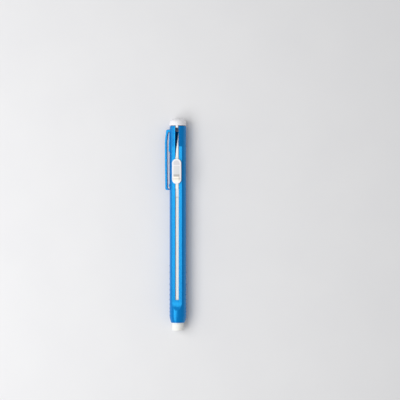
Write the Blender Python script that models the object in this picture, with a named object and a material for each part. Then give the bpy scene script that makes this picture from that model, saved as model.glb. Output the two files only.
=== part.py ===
"""Pen-shaped eraser holder with a sliding button, a pocket clip and a round eraser stick.

The holder lies along Y with its cap end at the origin and its tip towards -Y. The slot and the
button face +Z, and the clip is on the -X side. Lengths are in metres.
"""

import math

import bmesh
import bpy
from mathutils import Matrix, Vector

MM = 0.001

# Clearances
SLIDE_GAP = 0.2 * MM
SEAT_GAP = 0.3 * MM
BORE_CLEARANCE = 0.25 * MM

# Eraser stick
STICK_RADIUS = 3.55 * MM
STICK_LENGTH = 92.0 * MM
STICK_OUT = 4.9 * MM
STICK_EDGE = 0.35 * MM
STICK_SHOULDER = 0.2 * MM

# Barrel
TRACK_WALL = 0.4 * MM
TRACK_DEPTH = 1.0 * MM
COLLAR_LENGTH = 12.9 * MM
BARREL_EDGE = 0.4 * MM
NOSE_LENGTH = 6.6 * MM
NOSE_DROP = 1.1 * MM
NOSE_RING_FROM_MOUTH = 3.2 * MM
NOSE_RING_STEP = 0.09 * MM
NOSE_RING_SLOPE = 0.15 * MM
MOUTH_LIP = 0.3 * MM
TRACK_FRONT_FROM_MOUTH = 7.75 * MM
TRACK_RAMP_LENGTH = 3.6 * MM
SLOT_WIDTH = 2.2 * MM
SLOT_FRONT_FROM_TRACK = 6.65 * MM

# Grip ribs on both sides of the nose end
GRIP_COUNT = 11
GRIP_FIRST_FROM_MOUTH = 4.7 * MM
GRIP_FIRST_PITCH = 2.11 * MM
GRIP_PITCH_GROWTH = 0.225 * MM
GRIP_WIDTH = 0.9 * MM
GRIP_HEIGHT = 0.2 * MM
GRIP_ROOT = 0.4 * MM
GRIP_FLAT_SHARE = 0.4
GRIP_END_DROP = 0.9
GRIP_HALF_ARC = math.radians(34.0)

# Pocket clip
CLIP_LENGTH = 38.1 * MM
CLIP_THICKNESS = 1.3 * MM
CLIP_WIDTH = 3.8 * MM
CLIP_FROM_REAR = 2.2 * MM
CLIP_ROOT_THICKNESS = 1.7 * MM
CLIP_ROOT_STAND_OFF = 1.7 * MM
CLIP_SWELL = 1.15 * MM
CLIP_SWELL_FROM_ROOT = 8.5 * MM
CLIP_CORNER = 1.1 * MM
CLIP_TIP_DROP = 0.25 * MM
CLIP_TIP_CORNER = 1.0 * MM
CLIP_LIP = 0.95 * MM
CLIP_LIP_ROUND = 0.35 * MM
CLIP_EDGE = 0.3 * MM

# Wedge and pip on the barrel under the clip, which stop and pinch the cloth of a pocket
WEDGE_END_FROM_REAR = 16.2 * MM
WEDGE_HEIGHT = 0.65 * MM
WEDGE_WIDTH = 2.0 * MM
PIP_FROM_REAR = 37.5 * MM
PIP_LENGTH = 1.8 * MM
PIP_HEIGHT = 0.5 * MM
UNDER_CLIP_EDGE = 0.15 * MM

# Carriage inside the bore
JAW_LENGTH = 8.3 * MM
JAW_WALL = 0.6 * MM
JAW_SLIT = 0.8 * MM
JAW_SLIT_END = 1.3 * MM
CORE_LENGTH = 17.0 * MM
NECK_AHEAD_OF_CUP = 3.3 * MM
NECK_BEHIND_BUTTON = 1.6 * MM
NECK_ROOT = 0.36 * MM
FIN_BOTTOM = 1.5 * MM
PEG_LENGTH = 5.0 * MM
PEG_WIDTH = 1.2 * MM
PEG_HEIGHT = 0.7 * MM

# Guide tail behind the neck, which hugs the slot's right side: how far behind the neck each
# section is, how far its left and right sides are from the middle, and its drop below the track
TAIL_SECTIONS = (
    (4.1 * MM, -0.6 * MM, 0.9 * MM, 0.1 * MM),
    (7.6 * MM, -0.1 * MM, 0.85 * MM, 0.2 * MM),
    (10.0 * MM, 0.05 * MM, 0.8 * MM, 0.9 * MM),
)
TAIL_TIP_LEFT = 0.25 * MM
TAIL_TIP_RIGHT = 0.65 * MM
TAIL_TIP_DROP = 3.8 * MM

# Thumb button
BUTTON_FROM_CUP = 7.75 * MM
BUTTON_LENGTH = 15.7 * MM
BUTTON_WIDTH = 5.7 * MM
BUTTON_HEIGHT = 2.0 * MM
BUTTON_RIM = 0.8 * MM
BUTTON_EDGE = 0.4 * MM
DISH_DEPTH = 0.45 * MM
DISH_REAR_DEPTH = 0.6 * MM
DISH_REAR_LENGTH = 3.3 * MM
RAMP_LENGTH = 5.1 * MM
RAMP_DEPTH = 0.9 * MM
RAMP_END_DEPTH = 0.1 * MM
BACK_TRAVEL = 7.6 * MM

# End cap
CAP_HEAD_LENGTH = 4.1 * MM
CAP_BASE_INSET = 0.05 * MM
CAP_BAND = 1.2 * MM
CAP_TAPER = 0.3 * MM
CAP_EDGE = 2.2 * MM
CAP_END_WALL = 1.1 * MM
PLUG_LENGTH = 3.5 * MM
PLUG_WALL = 0.9 * MM
PLUG_CHAMFER = 0.3 * MM
KEY_LENGTH = 1.2 * MM

# Facets
ROUND_SIDES = 48
FINE_STEPS = 6

# Sizes that follow from the ones above
BORE_RADIUS = STICK_RADIUS + BORE_CLEARANCE
TRACK_HEIGHT = BORE_RADIUS + TRACK_WALL
BARREL_RADIUS = TRACK_HEIGHT + TRACK_DEPTH
WALL_MIDDLE = (BORE_RADIUS + BARREL_RADIUS) / 2
CUP_FROM_MOUTH = STICK_LENGTH - STICK_OUT + SEAT_GAP
BUTTON_REAR_FROM_CUP = BUTTON_FROM_CUP + BUTTON_LENGTH / 2
TRACK_REAR_FROM_MOUTH = CUP_FROM_MOUTH + BUTTON_REAR_FROM_CUP + BACK_TRAVEL + SEAT_GAP
BARREL_LENGTH = TRACK_REAR_FROM_MOUTH + COLLAR_LENGTH
SLOT_FRONT_FROM_MOUTH = TRACK_FRONT_FROM_MOUTH + SLOT_FRONT_FROM_TRACK
CORE_RADIUS = BORE_RADIUS - SLIDE_GAP
JAW_BORE = CORE_RADIUS - JAW_WALL
NECK_WIDTH = SLOT_WIDTH - 2 * SLIDE_GAP
NECK_REAR_FROM_CUP = BUTTON_REAR_FROM_CUP + NECK_BEHIND_BUTTON
PLUG_RADIUS = BORE_RADIUS - SEAT_GAP
PLUG_BORE = PLUG_RADIUS - PLUG_WALL

# Stations along Y, from the cap's end face at 0
BARREL_REAR_Y = -(CAP_HEAD_LENGTH + SEAT_GAP)
MOUTH_Y = BARREL_REAR_Y - BARREL_LENGTH
CUP_Y = MOUTH_Y + CUP_FROM_MOUTH
TAIL_END_FROM_CUP = -CAP_END_WALL - SEAT_GAP - BACK_TRAVEL - CUP_Y
OVERCUT = 5.0 * MM


def linear(hex_colour):
    """Turn an sRGB hex colour into the linear RGBA that a shader socket takes."""
    channels = [int(hex_colour[i:i + 2], 16) / 255 for i in (0, 2, 4)]
    return tuple(((c + 0.055) / 1.055) ** 2.4 if c > 0.04045 else c / 12.92 for c in channels) + (1.0,)


def plastic(name, hex_colour, roughness):
    material = bpy.data.materials.new(name)
    material.use_nodes = True
    shader = material.node_tree.nodes["Principled BSDF"]
    shader.inputs["Base Color"].default_value = linear(hex_colour)
    shader.inputs["Roughness"].default_value = roughness
    shader.inputs["Metallic"].default_value = 0.0
    material.diffuse_color = linear(hex_colour)
    return material


def make_object(name, bm, material=None):
    """Put a bmesh in the scene as an object with smooth round faces."""
    bmesh.ops.recalc_face_normals(bm, faces=bm.faces)
    mesh = bpy.data.meshes.new(name)
    bm.to_mesh(mesh)
    bm.free()
    mesh.shade_smooth()
    mesh.set_sharp_from_angle(angle=math.radians(35.0))
    obj = bpy.data.objects.new(name, mesh)
    bpy.context.collection.objects.link(obj)
    if material:
        mesh.materials.append(material)
    return obj


def helper(obj, parent):
    """Mark an object as a cutter or a blank that is not a piece of the holder."""
    obj.hide_render = True
    obj.display_type = "WIRE"
    obj.parent = parent
    return obj


def boolean(obj, other, operation):
    modifier = obj.modifiers.new(other.name, "BOOLEAN")
    modifier.operation = operation
    modifier.solver = "EXACT"
    modifier.object = other


def arc(centre, radius, start, end, steps=FINE_STEPS):
    """Points on an arc, with the angles in radians."""
    angles = [start + (end - start) * i / steps for i in range(steps + 1)]
    return [(centre[0] + radius * math.cos(a), centre[1] + radius * math.sin(a)) for a in angles]


def lathe(profile):
    """Turn (radius, y) points about Y. The profile starts and ends on the axis."""
    bm = bmesh.new()
    verts = [bm.verts.new((radius, y, 0.0)) for radius, y in profile]
    edges = [bm.edges.new(pair) for pair in zip(verts, verts[1:])]
    bmesh.ops.spin(bm, geom=verts + edges, cent=(0, 0, 0), axis=(0, 1, 0),
                   angle=2 * math.pi, steps=ROUND_SIDES, use_merge=True)
    bmesh.ops.remove_doubles(bm, verts=bm.verts, dist=1e-7)
    return bm


def prism(outline, low, high, place):
    """Extrude a closed outline from low to high. place maps (a, b, height) to a point."""
    bm = bmesh.new()
    face = bm.faces.new([bm.verts.new(place(a, b, low)) for a, b in outline])
    grown = bmesh.ops.extrude_face_region(bm, geom=[face])
    shift = Vector(place(0.0, 0.0, high)) - Vector(place(0.0, 0.0, low))
    moved = [item for item in grown["geom"] if isinstance(item, bmesh.types.BMVert)]
    bmesh.ops.translate(bm, verts=moved, vec=shift)
    return bm


def on_plan(a, b, height):
    return (a, b, height)


def on_side(a, b, height):
    return (height, a, b)


def box(low, high):
    outline = [(low[0], low[1]), (high[0], low[1]), (high[0], high[1]), (low[0], high[1])]
    return prism(outline, low[2], high[2], on_plan)


def obround(width, length, centre_y=0.0, steps=12):
    """Outline of a slot shape that runs along Y."""
    radius = width / 2
    reach = length / 2 - radius
    rear = arc((0.0, centre_y + reach), radius, 0.0, math.pi, steps)
    front = arc((0.0, centre_y - reach), radius, math.pi, 2 * math.pi, steps)
    return rear + front


def edges_at(bm, height):
    """Edges of a plan prism that lie wholly at one height."""
    flat = 1e-6
    return [e for e in bm.edges if all(abs(v.co.z - height) < flat for v in e.verts)]


def soften(bm, edges, width, segments=2):
    bmesh.ops.bevel(bm, geom=edges, offset=width, segments=segments, profile=0.5,
                    affect="EDGES", material=-1, clamp_overlap=True)


def outer_radius(y):
    """Radius of the barrel's outside at a distance y behind the mouth."""
    if y >= NOSE_LENGTH:
        return BARREL_RADIUS
    drop = NOSE_DROP * ((NOSE_LENGTH - y) / NOSE_LENGTH) ** 2
    step = NOSE_RING_STEP if y < NOSE_RING_FROM_MOUTH else 0.0
    return BARREL_RADIUS - drop - step


def barrel_profile():
    """Nose curve with its fine ring, then the straight tube."""
    lip_radius = outer_radius(MOUTH_LIP)
    points = [(0.0, 0.0)]
    points += arc((lip_radius - MOUTH_LIP, MOUTH_LIP), MOUTH_LIP, -math.pi / 2, 0.0, 3)
    front = NOSE_RING_FROM_MOUTH - NOSE_RING_SLOPE
    points += [(outer_radius(y), y) for y in (front / 2, front)]
    rear_steps = 5
    for i in range(rear_steps + 1):
        y = NOSE_RING_FROM_MOUTH + (NOSE_LENGTH - NOSE_RING_FROM_MOUTH) * i / rear_steps
        points.append((outer_radius(y), y))
    points.append((BARREL_RADIUS, BARREL_LENGTH - BARREL_EDGE))
    points.append((BARREL_RADIUS - BARREL_EDGE, BARREL_LENGTH))
    points.append((0.0, BARREL_LENGTH))
    return points


def clip_outline():
    """Side outline of the clip in (x, y) of the barrel, with the clip towards -X."""
    root_top = BARREL_LENGTH - CLIP_FROM_REAR
    root_bottom = root_top - CLIP_ROOT_THICKNESS
    tip = root_top - CLIP_LENGTH
    swell_y = root_top - CLIP_SWELL_FROM_ROOT

    def outer(y):
        root_reach = BARREL_RADIUS + CLIP_ROOT_STAND_OFF
        if y > swell_y:
            t = (root_top - y) / CLIP_SWELL_FROM_ROOT
            return root_reach + CLIP_SWELL * math.sin(t * math.pi / 2)
        t = (swell_y - y) / (swell_y - tip)
        return root_reach + CLIP_SWELL - CLIP_TIP_DROP * t ** 2

    def inner(y):
        return outer(y) - CLIP_THICKNESS

    corner_y = root_top - CLIP_CORNER
    corner_x = outer(corner_y) - CLIP_CORNER
    points = [(WALL_MIDDLE, root_top)]
    points += arc((corner_x, corner_y), CLIP_CORNER, math.pi / 2, 0.0, 5)
    swell_steps = 5
    for i in range(1, swell_steps + 1):
        y = corner_y + (swell_y - corner_y) * i / swell_steps
        points.append((outer(y), y))
    arm_steps = 3
    for i in range(1, arm_steps + 1):
        y = swell_y + (tip + CLIP_TIP_CORNER - swell_y) * i / arm_steps
        points.append((outer(y), y))
    tip_corner = (outer(tip) - CLIP_TIP_CORNER, tip + CLIP_TIP_CORNER)
    points += arc(tip_corner, CLIP_TIP_CORNER, 0.0, -math.pi / 2, 5)[1:]

    # The lip turns in at the tip and ends just clear of the barrel
    lip_end = BARREL_RADIUS + SEAT_GAP
    lip_top = tip + CLIP_LIP
    lip_round = min(CLIP_LIP_ROUND, 0.45 * (inner(lip_top) - lip_end))
    points += arc((lip_end + lip_round, tip + lip_round), lip_round, -math.pi / 2, -math.pi, 3)
    points += arc((lip_end + lip_round, lip_top - lip_round), lip_round, math.pi, math.pi / 2, 3)
    lip_root = (inner(lip_top) - lip_round, lip_top + lip_round)
    points += arc(lip_root, lip_round, -math.pi / 2, 0.0, 3)
    for i in range(arm_steps - 1, 0, -1):
        y = swell_y + (lip_root[1] - swell_y) * i / arm_steps
        points.append((inner(y), y))
    inner_corner = CLIP_CORNER / 2
    rise = (root_bottom - inner_corner - swell_y)
    for i in range(swell_steps):
        y = swell_y + rise * i / (swell_steps - 1)
        points.append((inner(y), y))
    corner = (inner(root_bottom - inner_corner) - inner_corner, root_bottom - inner_corner)
    points += arc(corner, inner_corner, 0.0, math.pi / 2, 3)[1:]
    points.append((WALL_MIDDLE, root_bottom))
    return [(-x, y) for x, y in points]


def clip_blank():
    bm = prism(clip_outline(), -CLIP_WIDTH / 2, CLIP_WIDTH / 2, on_plan)
    rims = edges_at(bm, -CLIP_WIDTH / 2) + edges_at(bm, CLIP_WIDTH / 2)
    soften(bm, rims, CLIP_EDGE)
    return make_object("clip_blank", bm)


def under_clip_blank(name, outline):
    """A low raised form on the barrel's -X side, from its side outline."""
    bm = prism([(-x, y) for x, y in outline], -WEDGE_WIDTH / 2, WEDGE_WIDTH / 2, on_plan)
    rims = edges_at(bm, -WEDGE_WIDTH / 2) + edges_at(bm, WEDGE_WIDTH / 2)
    soften(bm, rims, UNDER_CLIP_EDGE, 1)
    return make_object(name, bm)


def wedge_blank():
    """Wedge that rises from the clip's root and stops the edge of a pocket."""
    root = BARREL_LENGTH - CLIP_FROM_REAR - CLIP_ROOT_THICKNESS / 2
    end = BARREL_LENGTH - WEDGE_END_FROM_REAR
    outline = [(WALL_MIDDLE, root), (BARREL_RADIUS, root)]
    outline += [(BARREL_RADIUS + WEDGE_HEIGHT, end), (WALL_MIDDLE, end)]
    return under_clip_blank("wedge_blank", outline)


def pip_blank():
    """Low round pip that pinches the cloth beside the clip's lip."""
    half = PIP_LENGTH / 2
    radius = (half ** 2 + PIP_HEIGHT ** 2) / (2 * PIP_HEIGHT)
    centre = (BARREL_RADIUS + PIP_HEIGHT - radius, BARREL_LENGTH - PIP_FROM_REAR)
    return under_clip_blank("pip_blank", arc(centre, radius, -math.pi / 2, math.pi / 2, 10))


def grip_blank():
    """Two rows of low cross ribs, one on each side, as one operand of a union."""
    bm = bmesh.new()
    arc_steps = 6
    y = GRIP_FIRST_FROM_MOUTH
    for number in range(GRIP_COUNT):
        base = outer_radius(y)
        for middle in (0.0, math.pi):
            rings = []
            for i in range(arc_steps + 1):
                share = 2 * i / arc_steps - 1
                angle = middle + GRIP_HALF_ARC * share
                top = base + GRIP_HEIGHT * (1 - GRIP_END_DROP * share ** 4)
                bottom = base - GRIP_ROOT
                flat = GRIP_FLAT_SHARE / 2
                section = [(bottom, -0.5), (base, -0.5), (top, -flat)]
                section += [(top, flat), (base, 0.5), (bottom, 0.5)]
                ring = []
                for radius, across in section:
                    x = radius * math.cos(angle)
                    z = radius * math.sin(angle)
                    ring.append(bm.verts.new((x, y + across * GRIP_WIDTH, z)))
                rings.append(ring)
            for first, second in zip(rings, rings[1:]):
                for k in range(len(first)):
                    after = (k + 1) % len(first)
                    bm.faces.new((first[k], first[after], second[after], second[k]))
            bm.faces.new(rings[0])
            bm.faces.new(list(reversed(rings[-1])))
        y += GRIP_FIRST_PITCH + GRIP_PITCH_GROWTH * number
    return make_object("grip_blank", bm)


def bore_cutter():
    profile = [(0.0, -OVERCUT), (BORE_RADIUS, -OVERCUT)]
    profile += [(BORE_RADIUS, BARREL_LENGTH + OVERCUT), (0.0, BARREL_LENGTH + OVERCUT)]
    return make_object("bore_cutter", lathe(profile))


def slot_cutter():
    low = (-SLOT_WIDTH / 2, SLOT_FRONT_FROM_MOUTH, 0.0)
    high = (SLOT_WIDTH / 2, BARREL_LENGTH + OVERCUT, BARREL_RADIUS + OVERCUT)
    return make_object("slot_cutter", box(low, high))


def track_cutter():
    """Flat track for the button. A ramp runs out of it at the front, and a wall ends it at the rear."""
    slope = TRACK_DEPTH / TRACK_RAMP_LENGTH
    foot = TRACK_FRONT_FROM_MOUTH + TRACK_RAMP_LENGTH
    top = BARREL_RADIUS + OVERCUT
    outline = [(foot, TRACK_HEIGHT), (TRACK_REAR_FROM_MOUTH, TRACK_HEIGHT)]
    outline += [(TRACK_REAR_FROM_MOUTH, top), (foot - (top - TRACK_HEIGHT) / slope, top)]
    reach = BARREL_RADIUS + BARREL_EDGE
    return make_object("track_cutter", prism(outline, -reach, reach, on_side))


def make_barrel():
    blue = plastic("barrel_blue", "0f86d6", 0.28)
    barrel = make_object("barrel", lathe(barrel_profile()), blue)
    barrel.location.y = MOUTH_Y
    for blank in (clip_blank(), wedge_blank(), pip_blank(), grip_blank()):
        boolean(barrel, helper(blank, barrel), "UNION")
    for cutter in (track_cutter(), slot_cutter(), bore_cutter()):
        boolean(barrel, helper(cutter, barrel), "DIFFERENCE")
    return barrel


def make_end_cap():
    """Cap head with a hollow plug, open along the slot, and a key that enters the slot."""
    base = BARREL_RADIUS - CAP_BASE_INSET
    crown = base - CAP_TAPER
    seat = -CAP_HEAD_LENGTH
    plug_end = BARREL_REAR_Y - PLUG_LENGTH
    profile = [(0.0, 0.0)]
    profile += list(reversed(arc((crown - CAP_EDGE, -CAP_EDGE), CAP_EDGE, 0.0, math.pi / 2, 6)))
    profile += [(base, seat + CAP_BAND), (base, seat), (PLUG_RADIUS, seat)]
    profile += [(PLUG_RADIUS, plug_end + PLUG_CHAMFER), (PLUG_RADIUS - PLUG_CHAMFER, plug_end)]
    profile += [(PLUG_BORE, plug_end), (PLUG_BORE, -CAP_END_WALL), (0.0, -CAP_END_WALL)]
    cap = make_object("end_cap", lathe(profile), plastic("cap_white", "eceaee", 0.35))

    gap_half = SLOT_WIDTH / 2 + 2 * SLIDE_GAP
    low = (-gap_half, plug_end - OVERCUT, 0.0)
    high = (gap_half, seat, PLUG_RADIUS + OVERCUT)
    gap = make_object("plug_gap_cutter", box(low, high))
    boolean(cap, helper(gap, cap), "DIFFERENCE")

    low = (-SLOT_WIDTH / 2 + SEAT_GAP, BARREL_REAR_Y - KEY_LENGTH, BORE_RADIUS)
    high = (SLOT_WIDTH / 2 - SEAT_GAP, seat + CAP_BAND / 2, BARREL_RADIUS - SEAT_GAP)
    key = make_object("key_blank", box(low, high))
    boolean(cap, helper(key, cap), "UNION")
    return cap


def make_carriage():
    """Core with four jaws, the neck in the slot, a peg for the button and the guide tail."""
    profile = [(0.0, 0.0), (JAW_BORE, 0.0), (JAW_BORE, -JAW_LENGTH), (CORE_RADIUS, -JAW_LENGTH)]
    profile += [(CORE_RADIUS, CORE_LENGTH), (0.0, CORE_LENGTH)]
    carriage = make_object("carriage", lathe(profile), plastic("carriage_white", "f2f2f0", 0.4))
    carriage.location.y = CUP_Y

    half = NECK_WIDTH / 2
    neck_front = -NECK_AHEAD_OF_CUP
    shelf = CORE_RADIUS - NECK_ROOT
    solid_from = JAW_SLIT_END
    outline = [(neck_front, shelf), (solid_from, shelf), (solid_from, -FIN_BOTTOM)]
    outline += [(NECK_REAR_FROM_CUP, -FIN_BOTTOM), (NECK_REAR_FROM_CUP, TRACK_HEIGHT)]
    outline += [(neck_front, TRACK_HEIGHT)]
    neck = make_object("neck_blank", prism(outline, -half, half, on_side))
    boolean(carriage, helper(neck, carriage), "UNION")

    tail_start = NECK_REAR_FROM_CUP - SEAT_GAP
    tail = bmesh.new()
    rings = []
    sections = [(tail_start, -half, half, 0.0), (NECK_REAR_FROM_CUP, -half, half, 0.0)]
    sections += [(NECK_REAR_FROM_CUP + behind, *rest) for behind, *rest in TAIL_SECTIONS]
    sections += [(TAIL_END_FROM_CUP, TAIL_TIP_LEFT, TAIL_TIP_RIGHT, TAIL_TIP_DROP)]
    for y, left, right, drop in sections:
        top = TRACK_HEIGHT - drop
        corners = ((left, -FIN_BOTTOM), (right, -FIN_BOTTOM), (right, top), (left, top))
        rings.append([tail.verts.new((x, y, z)) for x, z in corners])
    for first, second in zip(rings, rings[1:]):
        for k in range(4):
            after = (k + 1) % 4
            tail.faces.new((first[k], first[after], second[after], second[k]))
    tail.faces.new(rings[0])
    tail.faces.new(rings[-1])
    boolean(carriage, helper(make_object("tail_blank", tail), carriage), "UNION")

    peg_outline = obround(PEG_WIDTH, PEG_LENGTH, BUTTON_FROM_CUP + PEG_LENGTH / 2, 6)
    peg_foot = TRACK_HEIGHT - TRACK_WALL
    peg = prism(peg_outline, peg_foot, TRACK_HEIGHT + PEG_HEIGHT, on_plan)
    boolean(carriage, helper(make_object("peg_blank", peg), carriage), "UNION")

    for number, turn in enumerate((math.pi / 4, -math.pi / 4)):
        reach = CORE_RADIUS + OVERCUT
        low = (-JAW_SLIT / 2, -JAW_LENGTH - OVERCUT, -reach)
        high = (JAW_SLIT / 2, -JAW_SLIT_END, reach)
        bm = box(low, high)
        bmesh.ops.rotate(bm, verts=bm.verts, cent=(0, 0, 0), matrix=Matrix.Rotation(turn, 3, "Y"))
        slit = make_object(f"jaw_slit_cutter_{number}", bm)
        boolean(carriage, helper(slit, carriage), "DIFFERENCE")
    return carriage


def make_thumb_button(carriage):
    """Long round-ended button with a rim, a dished top and a ramp for the thumb."""
    bottom = TRACK_HEIGHT + SEAT_GAP
    top = bottom + BUTTON_HEIGHT
    bm = prism(obround(BUTTON_WIDTH, BUTTON_LENGTH), bottom, top, on_plan)
    soften(bm, edges_at(bm, top), BUTTON_EDGE)
    button = make_object("thumb_button", bm, plastic("button_white", "f0eef2", 0.35))
    button.parent = carriage
    button.location.y = BUTTON_FROM_CUP

    inside = obround(BUTTON_WIDTH - 2 * BUTTON_RIM, BUTTON_LENGTH - 2 * BUTTON_RIM)
    dish = make_object("dish_cutter", prism(inside, bottom, top + OVERCUT, on_plan))
    rear = BUTTON_LENGTH / 2 - BUTTON_RIM
    pad = rear - DISH_REAR_LENGTH
    ramp_rear = -rear + RAMP_LENGTH
    floor = [(rear + OVERCUT, top - DISH_REAR_DEPTH), (pad, top - DISH_REAR_DEPTH)]
    floor += [(pad, top - DISH_DEPTH), (ramp_rear, top - RAMP_DEPTH)]
    floor += [(-rear, top - RAMP_END_DEPTH), (-rear - OVERCUT, top - RAMP_END_DEPTH)]
    floor += [(-rear - OVERCUT, top + 2 * OVERCUT), (rear + OVERCUT, top + 2 * OVERCUT)]
    reach = BUTTON_WIDTH
    floor_blank = make_object("dish_floor_blank", prism(floor, -reach, reach, on_side))
    boolean(helper(dish, button), helper(floor_blank, button), "INTERSECT")
    boolean(button, dish, "DIFFERENCE")

    width = PEG_WIDTH + 2 * SLIDE_GAP
    length = PEG_LENGTH + 2 * SLIDE_GAP
    ceiling = TRACK_HEIGHT + PEG_HEIGHT + SEAT_GAP
    socket_outline = obround(width, length, PEG_LENGTH / 2, 6)
    socket = make_object("socket_cutter", prism(socket_outline, bottom - OVERCUT, ceiling, on_plan))
    boolean(button, helper(socket, button), "DIFFERENCE")
    return button


def make_eraser_stick():
    """Round stick whose rear end is squeezed thinner by the jaws."""
    front = -(STICK_LENGTH + SEAT_GAP)
    rear = -SEAT_GAP
    gripped = JAW_BORE - SLIDE_GAP
    shoulder = -JAW_LENGTH - SEAT_GAP
    profile = [(0.0, front), (STICK_RADIUS - STICK_EDGE, front)]
    profile += arc((STICK_RADIUS - STICK_EDGE, front + STICK_EDGE), STICK_EDGE, -math.pi / 2, 0.0, 3)[1:]
    profile += [(STICK_RADIUS, shoulder - STICK_SHOULDER), (gripped, shoulder)]
    profile += [(gripped, rear - STICK_EDGE), (gripped - STICK_EDGE, rear), (0.0, rear)]
    stick = make_object("eraser_stick", lathe(profile), plastic("vinyl_white", "f6f3ea", 0.6))
    stick.location.y = CUP_Y
    return stick


def main():
    for obj in list(bpy.data.objects):
        bpy.data.objects.remove(obj, do_unlink=True)
    make_barrel()
    make_end_cap()
    carriage = make_carriage()
    make_thumb_button(carriage)
    make_eraser_stick()


main()
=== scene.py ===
# %% [markdown]
# # A pen-shaped eraser holder
#
# The object is a blue plastic tube with a white vinyl eraser stick inside. A thumb button slides in a
# slot and pushes the stick out at the nose, a white cap closes the rear end, and a clip on the side
# holds the tube in a pocket.
#
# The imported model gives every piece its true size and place, so this script starts from it and makes
# a finer mesh and a full material for each piece. The holder lies along Y with its tip towards -Y,
# the slot looks up (+Z) and the clip is on the -X side.

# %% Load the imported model
import math

import bmesh
import bpy
from mathutils import Matrix, Vector


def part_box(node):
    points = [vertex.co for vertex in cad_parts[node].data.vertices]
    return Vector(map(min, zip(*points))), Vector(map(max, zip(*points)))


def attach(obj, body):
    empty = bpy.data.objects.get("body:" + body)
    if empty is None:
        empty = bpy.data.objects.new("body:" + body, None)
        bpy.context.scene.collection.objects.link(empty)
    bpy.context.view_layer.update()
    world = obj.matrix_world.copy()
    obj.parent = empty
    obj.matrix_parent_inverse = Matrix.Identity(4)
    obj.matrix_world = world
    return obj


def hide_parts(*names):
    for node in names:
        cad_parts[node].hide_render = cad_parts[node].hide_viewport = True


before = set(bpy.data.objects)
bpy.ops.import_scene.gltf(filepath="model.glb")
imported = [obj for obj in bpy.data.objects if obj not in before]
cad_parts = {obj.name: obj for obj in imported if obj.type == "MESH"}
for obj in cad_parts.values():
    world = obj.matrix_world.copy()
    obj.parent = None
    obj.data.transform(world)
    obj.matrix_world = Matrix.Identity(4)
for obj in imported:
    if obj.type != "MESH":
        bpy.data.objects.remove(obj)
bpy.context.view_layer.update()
MM = 0.001
print("nodes:", sorted(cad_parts))

# %% [markdown]
# ## Sizes that the frame gives
#
# A box round each node is enough to find the driving sizes: the barrel's radius is how far it reaches
# down, the stick's radius is how far it reaches to the side. Reading them here means that the fine
# meshes follow the model if it changes. Two clearances come back all over the holder: one where a
# piece rests on another, and a smaller one where it holds another.

# %% Read the driving sizes
barrel_low, barrel_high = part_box("barrel")
cap_low, cap_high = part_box("end_cap")
carriage_low, carriage_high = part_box("carriage")
button_low, button_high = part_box("thumb_button")
stick_low, stick_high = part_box("eraser_stick")

MOUTH_Y = barrel_low.y
REAR_Y = barrel_high.y
BARREL_RADIUS = -barrel_low.z
CLIP_REACH = -barrel_low.x
CORE_RADIUS = -carriage_low.z
STICK_RADIUS = stick_high.x
BUTTON_MIDDLE_Y = (button_low.y + button_high.y) / 2
SEAT_GAP = 0.3 * MM
HOLD_GAP = 0.2 * MM
print(f"barrel {(REAR_Y - MOUTH_Y) / MM:.1f} mm long and {2 * BARREL_RADIUS / MM:.1f} mm across")

# %% [markdown]
# ## Camera
#
# The photograph was taken from almost straight above with a long lens, so a far camera with a narrow
# angle gives the same flat perspective. The holder is turned about its own axis by a few degrees: the
# slot sits left of the middle. Turning the camera by that angle instead keeps the model in its frame.
# The framing follows from three measurements in the 400 pixel picture.

# %% Place the camera
PICTURE_WIDTH = 400
PIXEL = 0.63 * MM
AXIS_COLUMN = 177.9
TIP_ROW = 330.3
VIEW_TILT = math.radians(7.0)
VIEW_DISTANCE = 1.2


def add_object(name, data):
    """Put an object with this camera, lamp or mesh into the scene."""
    holder = bpy.data.objects.new(name, data)
    bpy.context.scene.collection.objects.link(holder)
    return holder


to_right = Vector((math.cos(VIEW_TILT), 0.0, -math.sin(VIEW_TILT)))
to_camera = Vector((math.sin(VIEW_TILT), 0.0, math.cos(VIEW_TILT)))
middle = PICTURE_WIDTH / 2
aim = to_right * (middle - AXIS_COLUMN) * PIXEL
aim.y = stick_low.y + (TIP_ROW - middle) * PIXEL

lens = bpy.data.cameras.new("copy_stand_camera")
lens.sensor_width = 36.0
lens.angle = 2 * math.atan(middle * PIXEL / VIEW_DISTANCE)
lens.clip_start = 0.01
lens.clip_end = 10.0
camera = add_object("copy_stand_camera", lens)
camera.rotation_euler = (0.0, VIEW_TILT, 0.0)
camera.location = aim + to_camera * VIEW_DISTANCE
bpy.context.scene.camera = camera
print(f"camera {VIEW_DISTANCE} m away, {math.degrees(lens.angle):.1f} degrees wide")

# %% [markdown]
# ## Shader helpers
#
# Every material below is a small tree of nodes. One helper starts a material, one plugs a value or
# another node's socket into an input, and one adds a node and plugs all its inputs. The others add the
# kinds of node that come back most often, so that each material reads as a short recipe.

# %% Node helpers
def plug(tree, socket, value):
    """Link another node's socket to this input, or set the input to a number or a colour."""
    if isinstance(value, bpy.types.NodeSocket):
        tree.links.new(value, socket)
    else:
        socket.default_value = value


def add_node(tree, kind, settings=None, **inputs):
    """Add a node. An input is a number, a colour or a socket to link from; _ stands for a space."""
    node = tree.nodes.new(kind)
    for name, value in (settings or {}).items():
        setattr(node, name, value)
    for name, value in inputs.items():
        plug(tree, node.inputs[name.replace("_", " ")], value)
    return node


def new_material(name):
    """A material, its tree, its shader and the Object coordinates that its patterns use."""
    material = bpy.data.materials.new(name)
    material.use_nodes = True
    tree = material.node_tree
    place = tree.nodes.new("ShaderNodeTexCoord").outputs["Object"]
    return material, tree, tree.nodes["Principled BSDF"], place


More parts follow.
